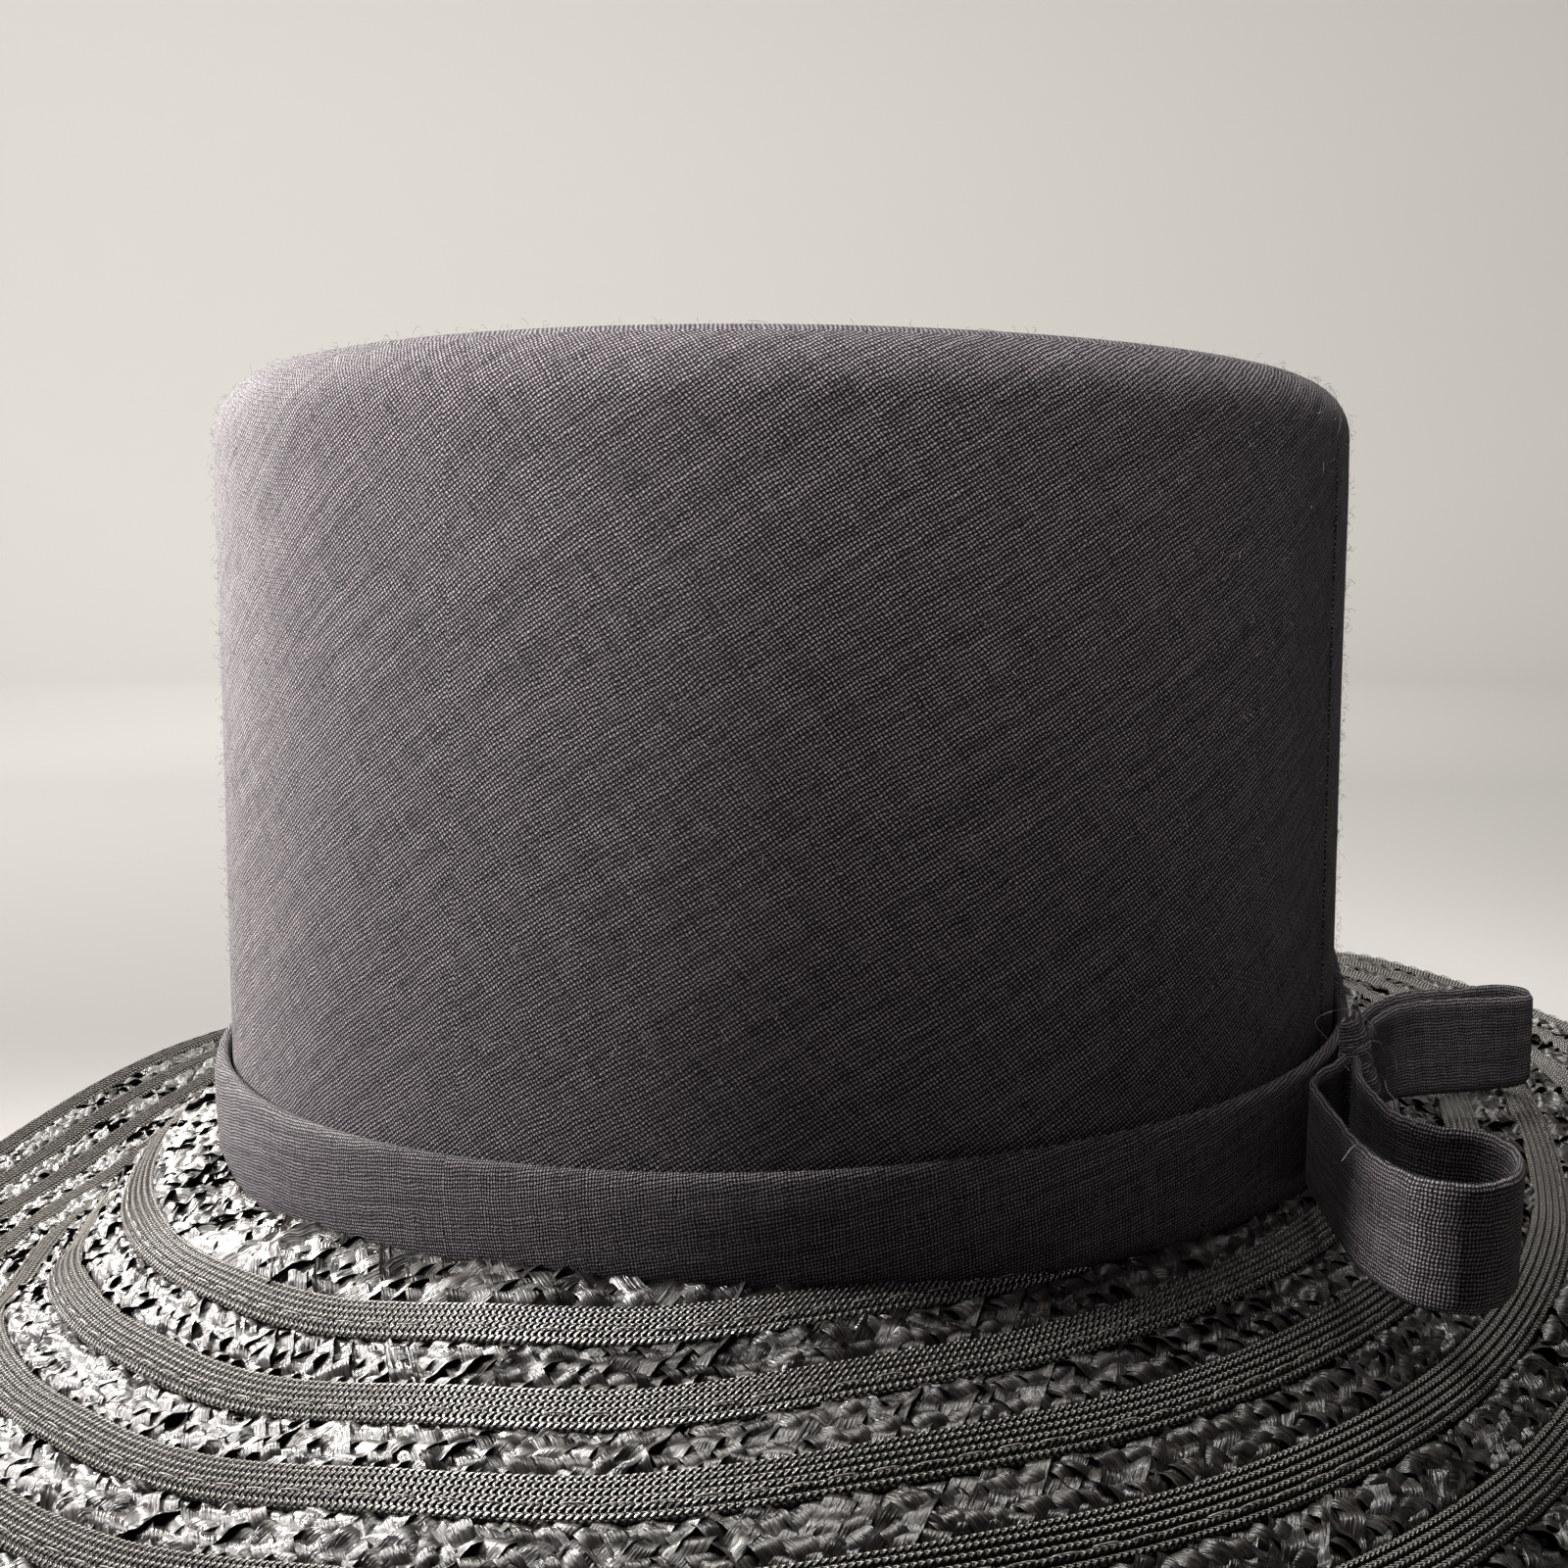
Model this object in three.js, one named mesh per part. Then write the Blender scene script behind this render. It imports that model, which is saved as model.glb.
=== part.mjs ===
// Wide brim hat: a tall crown with a flat tip, covered in woven cloth, on a brim of oval rows of horsehair
// braid and straw braid sewn edge to edge, with a folded cloth band and a flat bow at the back.
// Millimetres, +Z up, front of the hat towards -Y. The origin is the bottom centre of the hat's box, on the
// surface that it lies on. Azimuths are in degrees from +X towards +Y.

import * as THREE from 'three';

// Crown, measured outside. It is oval, longer from front to back.
const crownLength = 194;
const crownWidth = 178;
const crownHeight = 122.4;
const crownWall = 2;
const tipEdgeRadius = 10;
const tipEdgeSwing = 2;
const tipTilt = 1.2;
const tipClimb = 298;

// Brim. Rows of the two braids alternate outwards from the head opening.
const rowPairs = 7;
const strawRowWidth = 6.8;
const horsehairRowWidth = 5.6;
const tuckedRowWidth = 10;
const brimWall = 1.6;
const brimDrop = 37;
const rowsAhead = 10;
const rowsAside = 2.6;
const rowsTucked = 2;
const rowsRounding = 4.3;
const shoulderFade = 18;
const narrowestRow = 1.5;

// Band and bow, cut from one folded strip of cloth.
const bandHeight = 16.6;
const bandWall = 2;
const bandBulge = 0.8;
const bandPressed = 20;
const bandTilt = 3;
const bandClimb = 118;
const bandStep = 11;
const stripWidth = 16;
const stripWall = 1.2;
const loopLength = 53;
const bowAzimuth = 90;
const knotWidth = 13;
const knotHeight = 22;
const knotDepth = 6.5;
const knotTaper = 0.75;
const knotRibs = 3;
const knotRibDepth = 0.4;

// Clearance between pieces that touch.
const seamGap = 0.3;
const bowClearance = 0.6;

// Facets.
const segments = 60;
const loopSteps = 44;

// Side of the crown: girth at shares of its height, as shares of its length and width.
const crownSide = [
  { height: 0, girth: 1.012 },
  { height: 0.3, girth: 1.006 },
  { height: 0.65, girth: 1 },
  { height: 1, girth: 0.997 },
];

// Fall of the brim round the hat. collar, shoulder and edge are drops as shares of brimDrop, lean and steep
// are the sine of the slope at the collar and at the shoulder. The brim rests on the three rows with edge 1.
const brimFall = [
  { azimuth: 18, collar: -0.03, lean: 0.19, shoulder: 0.19, steep: 0.23, edge: 0.8 },
  { azimuth: 43, collar: -0.09, lean: 0.15, shoulder: 0.07, steep: 0.2, edge: 0.86 },
  { azimuth: 72, collar: -0.12, lean: 0.1, shoulder: 0.03, steep: 0.2, edge: 1 },
  { azimuth: 93, collar: -0.12, lean: 0.07, shoulder: -0.01, steep: 0.13, edge: 0.68 },
  { azimuth: 118, collar: -0.13, lean: 0.05, shoulder: -0.08, steep: 0.07, edge: 0.16 },
  { azimuth: 148, collar: -0.12, lean: 0.04, shoulder: -0.08, steep: 0.06, edge: 0.12 },
  { azimuth: 183, collar: -0.05, lean: 0.1, shoulder: 0.08, steep: 0.2, edge: 0.69 },
  { azimuth: 208, collar: 0, lean: 0.18, shoulder: 0.25, steep: 0.34, edge: 1 },
  { azimuth: 233, collar: 0.06, lean: 0.2, shoulder: 0.36, steep: 0.42, edge: 0.84 },
  { azimuth: 257, collar: 0.1, lean: 0.2, shoulder: 0.47, steep: 0.55, edge: 0.74 },
  { azimuth: 288, collar: 0.13, lean: 0.16, shoulder: 0.6, steep: 0.75, edge: 1 },
  { azimuth: 313, collar: 0.15, lean: 0.12, shoulder: 0.57, steep: 0.7, edge: 0.96 },
  { azimuth: 335, collar: 0.16, lean: 0.1, shoulder: 0.4, steep: 0.5, edge: 0.91 },
  { azimuth: 353, collar: 0.08, lean: 0.2, shoulder: 0.36, steep: 0.31, edge: 0.84 },
];

// Top edge of the band: rise as a share of bandStep. It rides up behind the bow.
const bandRise = [
  { azimuth: 100, rise: 0 },
  { azimuth: 116, rise: 1 },
  { azimuth: 150, rise: 0.9 },
  { azimuth: 230, rise: 0.3 },
  { azimuth: 290, rise: 0 },
];

// Middle line of each loop's wall in plan, out from the knot, round and back. along is the distance round the
// crown from the knot's side and away the distance out from the band's face, as shares of loopLength.
const leftLine = [
  { along: 0, away: 0.05 }, { along: 0.17, away: 0.08 }, { along: 0.343, away: 0.138 },
  { along: 0.523, away: 0.219 }, { along: 0.592, away: 0.317 }, { along: 0.592, away: 0.411 },
  { along: 0.655, away: 0.483 }, { along: 0.787, away: 0.509 }, { along: 0.909, away: 0.487 },
  { along: 0.991, away: 0.411 }, { along: 0.996, away: 0.326 }, { along: 0.928, away: 0.245 },
  { along: 0.806, away: 0.166 }, { along: 0.655, away: 0.102 }, { along: 0.475, away: 0.034 },
  { along: 0.279, away: -0.022 }, { along: 0.06, away: 0.012 }, { along: 0, away: 0.017 },
];
const rightLine = [
  { along: 0, away: 0.05 }, { along: 0.242, away: 0.098 }, { along: 0.443, away: 0.215 },
  { along: 0.589, away: 0.332 }, { along: 0.692, away: 0.415 }, { along: 0.755, away: 0.449 },
  { along: 0.825, away: 0.426 }, { along: 0.834, away: 0.366 }, { along: 0.762, away: 0.287 },
  { along: 0.647, away: 0.208 }, { along: 0.509, away: 0.125 }, { along: 0.285, away: 0.049 },
  { along: 0.06, away: 0.019 }, { along: 0, away: 0.017 },
];

// The loops of the bow. side is the way round the crown, and pinch the share of the strip's width left at the
// knot. The levels are heights of the lower edge over the collar at the knot and at the far end, and lean is how
// far that edge stands out between them, as shares of stripWidth. The brim lifts the edge where it is higher.
const bowLoops = [
  { name: 'bow_loop_left', side: -1, line: leftLine, pinch: 0.97, rootLevel: 0.28, endLevel: 0.34, lean: 0 },
  { name: 'bow_loop_right', side: 1, line: rightLine, pinch: 0.97, rootLevel: 0.4, endLevel: 0.2, lean: 0.18 },
];

const cloth = new THREE.MeshStandardMaterial({ color: 0x25222a, roughness: 0.9, metalness: 0 });
const straw = new THREE.MeshStandardMaterial({ color: 0x1b1a1a, roughness: 0.35, metalness: 0 });
const horsehair = new THREE.MeshStandardMaterial({ color: 0x232323, roughness: 0.4, metalness: 0 });

const headLength = crownLength / 2 - crownWall;
const headWidth = crownWidth / 2 - crownWall;
const baseLength = headLength - rowsAhead - rowsTucked;
const baseWidth = headWidth - rowsAside - rowsTucked + rowsRounding;
const pairWidth = strawRowWidth + horsehairRowWidth + 2 * seamGap;
const collarReach = tuckedRowWidth + seamGap;
const shoulderReach = collarReach + 2 * pairWidth;
const brimReach = tuckedRowWidth + rowPairs * pairWidth;

const radians = (degrees) => degrees * Math.PI / 180;
const degreesOf = (x, y) => (Math.atan2(y, x) * 180 / Math.PI + 360) % 360;
const mix = (a, b, t) => a + (b - a) * t;
const smooth = (t) => t * t * (3 - 2 * t);

// One column of a table by azimuth, level at each row and smooth between two rows, right round the hat.
function around(table, column, azimuth) {
  const turned = (azimuth % 360 + 360) % 360;
  let after = table.findIndex((row) => row.azimuth > turned);
  if (after < 0) after = 0;
  const next = table[after];
  const last = table[(after + table.length - 1) % table.length];
  const span = (next.azimuth - last.azimuth + 360) % 360;
  const share = ((turned - last.azimuth + 360) % 360) / span;
  return mix(last[column], next[column], smooth(share));
}

// Drop of the brim's upper face and the sine of its slope, at a reach measured along the face from the base
// oval: straight inside the collar, a cubic down to the shoulder, then a slope that fades to the skirt's own.
function brimLine(azimuth, reach) {
  const collar = around(brimFall, 'collar', azimuth) * brimDrop;
  const shoulder = around(brimFall, 'shoulder', azimuth) * brimDrop;
  const edge = around(brimFall, 'edge', azimuth) * brimDrop;
  const lean = around(brimFall, 'lean', azimuth);
  const steep = around(brimFall, 'steep', azimuth);
  if (reach <= collarReach) return { drop: collar + lean * (reach - collarReach), slope: lean };
  if (reach <= shoulderReach) {
    const span = shoulderReach - collarReach;
    const t = (reach - collarReach) / span;
    const rise = shoulder - collar;
    const bend = (lean + steep) * span - 2 * rise;
    const ease = 3 * rise - (2 * lean + steep) * span;
    const drop = collar + t * (lean * span + t * (ease + t * bend));
    return { drop, slope: (lean * span + t * (2 * ease + 3 * t * bend)) / span };
  }
  const skirt = brimReach - shoulderReach;
  const faded = shoulderFade * (1 - Math.exp(-skirt / shoulderFade));
  const settled = (edge - shoulder - steep * faded) / (skirt - faded);
  const past = reach - shoulderReach;
  const left = Math.exp(-past / shoulderFade);
  const drop = shoulder + settled * past + (steep - settled) * shoulderFade * (1 - left);
  return { drop, slope: settled + (steep - settled) * left };
}

// Level distance covered by the brim's face from the base oval out to a reach.
function brimRun(azimuth, reach) {
  const steps = Math.max(1, Math.ceil(Math.abs(reach) / 2));
  let run = 0;
  for (let step = 0; step < steps; step += 1) {
    const { slope } = brimLine(azimuth, reach * (step + 0.5) / steps);
    run += reach / steps * Math.sqrt(1 - slope * slope);
  }
  return run;
}

// Point at a depth under the brim's upper face.
function brimPoint(azimuth, reach, depth = 0) {
  const { drop, slope } = brimLine(azimuth, reach);
  const level = Math.sqrt(1 - slope * slope);
  const run = brimRun(azimuth, reach) - depth * slope;
  const x = -rowsAside + (baseWidth + run) * Math.cos(radians(azimuth));
  const y = -rowsAhead + (baseLength + run) * Math.sin(radians(azimuth));
  return new THREE.Vector3(x, y, -drop - depth * level);
}

// Halves a range until it holds the place where a rising function passes zero.
function findZero(rising, from, to) {
  let low = from;
  let high = to;
  for (let turn = 0; turn < 40; turn += 1) {
    const middle = (low + high) / 2;
    if (rising(middle) < 0) low = middle;
    else high = middle;
  }
  return (low + high) / 2;
}

// Height of the brim's upper face over a point of the plan.
function brimHeight(x, y) {
  const across = x + rowsAside;
  const ahead = y + rowsAhead;
  const outside = (run) => (across / (baseWidth + run)) ** 2 + (ahead / (baseLength + run)) ** 2;
  const run = findZero((guess) => 1 - outside(guess), -0.5 * baseWidth, 2 * brimReach);
  const azimuth = degreesOf(across / (baseWidth + run), ahead / (baseLength + run));
  const reach = findZero((guess) => brimRun(azimuth, guess) - run, -baseWidth, 2 * brimReach);
  return -brimLine(azimuth, reach).drop;
}

// Reach at which the head opening cuts the brim.
function openingReach(azimuth) {
  const cos = Math.cos(radians(azimuth));
  const sin = Math.sin(radians(azimuth));
  const outside = (run) => ((-rowsAside + (baseWidth + run) * cos) / headWidth) ** 2
    + ((-rowsAhead + (baseLength + run) * sin) / headLength) ** 2 - 1;
  const run = findZero(outside, 0, headLength);
  return findZero((guess) => brimRun(azimuth, guess) - run, 0, brimReach);
}

// A closed body from rings of as many points each. A ring of one point is a pole. An endless body joins its
// last ring to its first, and any other one has its end rings filled in when they aren't poles.
function skin(rings, endless = false) {
  const points = [];
  const starts = rings.map((ring) => points.push(...ring) - ring.length);
  const faces = [];
  const joints = endless ? rings.length : rings.length - 1;
  for (let i = 0; i < joints; i += 1) {
    const j = (i + 1) % rings.length;
    const count = Math.max(rings[i].length, rings[j].length);
    for (let k = 0; k < count; k += 1) {
      const l = (k + 1) % count;
      const [a, b] = rings[i].length > 1 ? [starts[i] + k, starts[i] + l] : [starts[i], starts[i]];
      const [c, d] = rings[j].length > 1 ? [starts[j] + k, starts[j] + l] : [starts[j], starts[j]];
      if (a !== b) faces.push(a, b, c);
      if (c !== d) faces.push(b, d, c);
    }
  }
  if (!endless) {
    const last = rings.length - 1;
    const foot = starts[0];
    const head = starts[last];
    for (let k = 1; k + 1 < rings[0].length; k += 1) faces.push(foot, foot + k + 1, foot + k);
    for (let k = 1; k + 1 < rings[last].length; k += 1) faces.push(head, head + k, head + k + 1);
  }
  const geometry = new THREE.BufferGeometry();
  const places = points.flatMap((point) => point.toArray());
  geometry.setAttribute('position', new THREE.Float32BufferAttribute(places, 3));
  geometry.setIndex(facesOutward(points, faces));
  geometry.computeVertexNormals();
  return geometry;
}

// Turns the faces round if they enclose a negative volume.
function facesOutward(points, faces) {
  let volume = 0;
  for (let i = 0; i < faces.length; i += 3) {
    const [a, b, c] = faces.slice(i, i + 3).map((index) => points[index]);
    volume += a.dot(new THREE.Vector3().crossVectors(b, c));
  }
  if (volume > 0) return faces;
  return faces.map((index, i) => faces[i % 3 === 0 ? i : i % 3 === 1 ? i + 1 : i - 1]);
}

function piece(name, geometry, material) {
  const mesh = new THREE.Mesh(geometry, material);
  mesh.name = name;
  return mesh;
}

const stations = Array.from({ length: segments }, (_, i) => 360 * i / segments);

// Point of the crown's oval at a share of its girth, set in from its outside.
function crownPlan(azimuth, girth, inset) {
  const x = (crownWidth / 2 * girth - inset) * Math.cos(radians(azimuth));
  const y = (crownLength / 2 * girth - inset) * Math.sin(radians(azimuth));
  return new THREE.Vector2(x, y);
}

function tipHeight(x, y) {
  const climb = x * Math.cos(radians(tipClimb)) + y * Math.sin(radians(tipClimb));
  return crownHeight + climb * Math.tan(radians(tipTilt));
}

const edgeRadius = (azimuth) => tipEdgeRadius + tipEdgeSwing * Math.cos(radians(azimuth - tipClimb));

// One face of the crown as rings from its foot to the edge of the flat tip.
function crownFace(inset) {
  const turns = [30, 60, 90];
  const rise = crownSide.map(({ height, girth }) => stations.map((azimuth) => {
    const foot = crownPlan(azimuth, crownSide[0].girth, inset);
    const plan = crownPlan(azimuth, girth, inset);
    const low = brimHeight(foot.x, foot.y) + seamGap;
    const high = tipHeight(plan.x, plan.y) - edgeRadius(azimuth);
    return new THREE.Vector3(plan.x, plan.y, mix(low, high, height));
  }));
  const { girth } = crownSide.at(-1);
  const bend = turns.map((turn) => stations.map((azimuth) => {
    const radius = edgeRadius(azimuth) - inset;
    const plan = crownPlan(azimuth, girth, inset + radius * (1 - Math.cos(radians(turn))));
    const height = tipHeight(plan.x, plan.y) - inset - radius * (1 - Math.sin(radians(turn)));
    return new THREE.Vector3(plan.x, plan.y, height);
  }));
  return [...rise, ...bend];
}

function crown() {
  const top = new THREE.Vector3(0, 0, tipHeight(0, 0));
  const ceiling = new THREE.Vector3(0, 0, tipHeight(0, 0) - crownWall);
  const outside = crownFace(0).reverse();
  const inside = crownFace(crownWall);
  return piece('crown', skin([[top], ...outside, ...inside, [ceiling]]), cloth);
}

// A row of braid between two reaches, cut back by the head opening. It has ends where that leaves less than
// the narrowest row.
function braidRow(name, from, to, material) {
  const cuts = stations.map((azimuth) => Math.max(from, openingReach(azimuth)));
  const wide = cuts.map((cut) => to - cut >= narrowestRow);
  const section = (i) => [
    brimPoint(stations[i], cuts[i]),
    brimPoint(stations[i], to),
    brimPoint(stations[i], to, brimWall),
    brimPoint(stations[i], cuts[i], brimWall),
  ];
  if (wide.every(Boolean)) return piece(name, skin(stations.map((_, i) => section(i)), true), material);
  const first = wide.findIndex((here, i) => here && !wide[(i + segments - 1) % segments]);
  const kept = [];
  for (let i = first; wide[i % segments] && kept.length < segments; i += 1) kept.push(section(i % segments));
  return piece(name, skin(kept), material);
}

function brim() {
  const rows = [braidRow('horsehair_row_1', 0, tuckedRowWidth, horsehair)];
  for (let pair = 1; pair <= rowPairs; pair += 1) {
    const start = collarReach + (pair - 1) * pairWidth;
    const middle = start + strawRowWidth + seamGap;
    rows.push(braidRow(`straw_row_${pair}`, start, start + strawRowWidth, straw));
    rows.push(braidRow(`horsehair_row_${pair + 1}`, middle, middle + horsehairRowWidth, horsehair));
  }
  return rows;
}

// Height of the band's top fold over a point of the plan.
function bandTop(x, y) {
  const climb = x * Math.cos(radians(bandClimb)) + y * Math.sin(radians(bandClimb));
  const rise = around(bandRise, 'rise', degreesOf(x, y)) * bandStep;
  return bandHeight + climb * Math.tan(radians(bandTilt)) + rise;
}

function hatBand() {
  const rings = stations.map((azimuth) => {
    const bulge = bandBulge * (1 - Math.exp(-(((azimuth - bowAzimuth) / bandPressed) ** 2)));
    const foot = crownPlan(azimuth, crownSide[0].girth, -seamGap);
    const hem = crownPlan(azimuth, crownSide[0].girth, -seamGap - bandWall);
    const top = bandTop(foot.x, foot.y);
    const low = brimHeight(foot.x, foot.y) + seamGap;
    const out = brimHeight(hem.x, hem.y) + seamGap;
    const level = (height, inset) => {
      const plan = crownPlan(azimuth, crownSide[0].girth, inset);
      return new THREE.Vector3(plan.x, plan.y, height);
    };
    return [
      level(low, -seamGap),
      level(top, -seamGap),
      level(top - bandWall / 4, -seamGap - bandWall * 0.8),
      level(mix(out, top, 0.7), -seamGap - bandWall - bulge),
      level(mix(out, top, 0.2), -seamGap - bandWall - bulge),
      level(out, -seamGap - bandWall),
    ];
  });
  return piece('hat_band', skin(rings, true), cloth);
}

// Frame of the bow on the face of the band: its middle, the way straight out and the way round the crown.
function bowFrame() {
  const face = crownPlan(bowAzimuth, crownSide[0].girth, -2 * seamGap - bandWall);
  const slope = new THREE.Vector2(
    Math.cos(radians(bowAzimuth)) * crownLength,
    Math.sin(radians(bowAzimuth)) * crownWidth,
  ).normalize();
  return { face, out: slope, round: new THREE.Vector2(-slope.y, slope.x) };
}

function bowKnot() {
  const { face, out, round } = bowFrame();
  const arc = [0, 30, 60, 90, 120, 150, 180];
  const levels = knotRibs * 4;
  const foot = Math.max(
    brimHeight(face.x, face.y),
    brimHeight(face.x + out.x * knotDepth, face.y + out.y * knotDepth),
  ) + bowClearance;
  const rings = Array.from({ length: levels + 1 }, (_, i) => {
    const share = i / levels;
    const rib = knotRibDepth * (1 - Math.cos(2 * Math.PI * share * knotRibs)) / 2;
    const swell = 1 - knotTaper * share ** 2;
    return arc.map((turn) => {
      const across = (knotWidth / 2 - knotRibDepth + rib) * Math.cos(radians(turn));
      const away = ((knotDepth - knotRibDepth) * swell + rib) * Math.sin(radians(turn));
      const x = face.x + round.x * across + out.x * away;
      const y = face.y + round.y * across + out.y * away;
      return new THREE.Vector3(x, y, foot + share * knotHeight);
    });
  });
  return piece('bow_knot', skin(rings), cloth);
}

// A loop of the strip on edge: out from the knot, round and back.
function bowLoop({ name, side, line, pinch, rootLevel, endLevel, lean }) {
  const { face, out, round } = bowFrame();
  const start = face.clone().addScaledVector(round, side * (knotWidth / 2 + seamGap));
  const curve = new THREE.CatmullRomCurve3(line.map(({ along, away }) => {
    const plan = start.clone()
      .addScaledVector(round, side * along * loopLength)
      .addScaledVector(out, away * loopLength);
    return new THREE.Vector3(plan.x, plan.y, 0);
  }));
  const rings = Array.from({ length: loopSteps + 1 }, (_, i) => {
    const t = i / loopSteps;
    const here = curve.getPointAt(t);
    const ahead = curve.getTangentAt(t);
    const normal = new THREE.Vector3(-ahead.y, ahead.x, 0).multiplyScalar(stripWall / 2);
    const one = here.clone().add(normal);
    const other = here.clone().sub(normal);
    const foot = out.clone().multiplyScalar(lean * stripWidth * Math.sin(2 * Math.PI * t) ** 2);
    const forth = Math.sin(Math.PI * t) ** 2;
    const level = stripWidth * mix(rootLevel, endLevel, forth);
    const brimLevel = Math.max(
      brimHeight(one.x + foot.x, one.y + foot.y),
      brimHeight(other.x + foot.x, other.y + foot.y),
    );
    const low = Math.max(level, brimLevel + bowClearance);
    const high = low + stripWidth * mix(pinch, 1, Math.min(1, 2 * forth));
    return [
      new THREE.Vector3(one.x + foot.x, one.y + foot.y, low),
      new THREE.Vector3(one.x, one.y, high),
      new THREE.Vector3(other.x, other.y, high),
      new THREE.Vector3(other.x + foot.x, other.y + foot.y, low),
    ];
  });
  return piece(name, skin(rings), cloth);
}

const hat = new THREE.Group();
hat.add(crown(), hatBand(), bowKnot(), ...bowLoops.map(bowLoop), ...brim());

// The origin goes to the bottom centre of the hat's box.
const box = new THREE.Box3().setFromObject(hat);
const middle = box.getCenter(new THREE.Vector3());
hat.position.set(-middle.x, -middle.y, -box.min.z);
hat.updateMatrixWorld(true);

export default hat;
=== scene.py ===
"""A wide brim hat: a tall crown and a folded band of black cloth, a flat bow, and a brim of straw and
horsehair braid.

Every piece is worked out with numpy on grids, in metres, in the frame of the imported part. The pieces of cloth
and braid stand for the CAD nodes that they are named after. Stitches, fuzz, lint and frayed threads are added.
The stage is a paper floor that curves up all round, pale behind the hat and dark on the camera's side.
"""

import bpy
import numpy as np
from mathutils import Euler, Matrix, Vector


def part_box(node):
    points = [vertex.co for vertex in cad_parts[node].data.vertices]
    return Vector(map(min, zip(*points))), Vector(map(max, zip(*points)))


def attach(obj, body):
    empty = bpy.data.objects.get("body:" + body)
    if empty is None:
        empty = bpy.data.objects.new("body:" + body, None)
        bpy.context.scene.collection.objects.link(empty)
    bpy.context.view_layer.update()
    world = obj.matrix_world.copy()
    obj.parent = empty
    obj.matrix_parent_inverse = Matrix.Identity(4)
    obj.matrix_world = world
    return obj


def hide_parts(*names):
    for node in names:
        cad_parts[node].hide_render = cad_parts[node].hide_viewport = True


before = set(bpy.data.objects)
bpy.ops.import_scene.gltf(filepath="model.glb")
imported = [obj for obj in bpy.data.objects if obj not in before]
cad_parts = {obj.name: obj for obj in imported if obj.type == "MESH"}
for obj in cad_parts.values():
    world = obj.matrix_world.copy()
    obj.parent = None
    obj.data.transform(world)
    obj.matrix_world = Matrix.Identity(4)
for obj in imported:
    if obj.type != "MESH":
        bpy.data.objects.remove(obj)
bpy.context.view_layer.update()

MM = 0.001
TURN = 2 * np.pi
WELD = 2e-7
FINE_STEPS = 1400

# The part's rings have a station every 6 degrees. Points nearer to the middle than the clearance are poles.
HALF_STATION = 3
RING_CLEARANCE = 20 * MM

# Crown, as in the part: half sizes of its oval, its middle, wall, edge rounding and the tilt of its tip.
CROWN_MIDDLE = np.array((2.83, 9.45)) * MM
CROWN_HALF = np.array((89.0, 97.0)) * MM
CROWN_WALL = 2 * MM
TIP_HEIGHT = 161 * MM
TIP_EDGE = 10 * MM
TIP_EDGE_SWING = 2 * MM
TIP_TILT = np.radians(1.2)
TIP_CLIMB = np.radians(298)
GIRTH_HEIGHTS = (0, 0.3, 0.65, 1)
GIRTHS = (1.012, 1.006, 1.0, 0.997)

# Seam at the back of the crown, where the cloth laps over itself.
SEAM_AZIMUTH = np.radians(87)
SEAM_STEP = 0.22 * MM
SEAM_FADE = np.radians(50)

# Brim, as in the part.
BRIM_MIDDLE = np.array((0.23, -0.55)) * MM
HORSEHAIR_ROWS = 8
STRAW_ROWS = 7
STRAW_WIDTH = 6.8 * MM
HORSEHAIR_WIDTH = 5.6 * MM
TUCKED_WIDTH = 10 * MM

# Horsehair: its ridges, the step along a row, how far a row goes past its edges, its underside, the cords
# along its edges, and the pitch of its herringbone in millimetres.
RIDGES = 6
TUCKED_RIDGES = 9
RIDGE_HEIGHT = 0.6 * MM
HORSEHAIR_STEP = 2.6 * MM
HORSEHAIR_OVERLAP = 0.35 * MM
HORSEHAIR_UNDERSIDE = 1.2 * MM
UNDERSIDE_RIDGE = 0.2 * MM
SELVAGE_RADIUS = 0.16 * MM
MESH_PITCH = 0.9

# Straw: the step along a row, its strips, and how far the first row reaches in over the tucked one.
STRAW_STEP = 3 * MM
STRAW_PITCH = 3.3 * MM
STRAW_STRIP = 2.5 * MM
STRAW_WEAVE = 0.32 * MM
STRAW_CREASE = 1.0 * MM
STRAW_CURL = 1.1 * MM
STRAW_LIFT = 0.3 * MM
STRAW_OVERLAP = 5.4 * MM
OVERLAP_LIFT = 0.8 * MM

# Thread and fibre.
STITCH_PITCH = 4.8 * MM
STITCH_LENGTH = 4.1 * MM
STITCH_RADIUS = 0.11 * MM
STITCH_ARCH = 1.0 * MM
FRAY_RADIUS = 0.06 * MM
FIBRE_FOOT = 56 * MM

# Cloth: spacing of its two sets of threads in millimetres, and how far each climbs to the right on the crown.
WEFT_PITCH, WEFT_CLIMB = 0.585, np.radians(31)
WARP_PITCH, WARP_CLIMB = 0.483, np.radians(-54)

# Band and bow, as in the part.
BAND_WALL = 2 * MM
BAND_PRESSED = np.radians(20)
BAND_RIPPLE = 0.16 * MM
BAND_GRAIN, BAND_SCALE = np.radians(41), 0.86
BOW_SCALE = 0.88
BOW_AZIMUTH = np.radians(90)
SEAM_GAP = 0.3 * MM
STRIP_WIDTH = 16 * MM
STRIP_WALL = 1.2 * MM
LOOP_LENGTH = 53 * MM
LOOP_RIM = 0.7 * MM
LOOP_WAVE = 0.3 * MM
LOOP_DROOP = 0.25 * MM
KNOT_WIDTH = 13 * MM
KNOT_DEPTH = 6.5 * MM
KNOT_TAPER = 0.75
KNOT_FOLDS, KNOT_FOLD_DEPTH = 3, 0.4 * MM
KNOT_RIBS, KNOT_RIB_DEPTH = 34, 0.13 * MM
KNOT_COVER = 0.5 * MM

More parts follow.
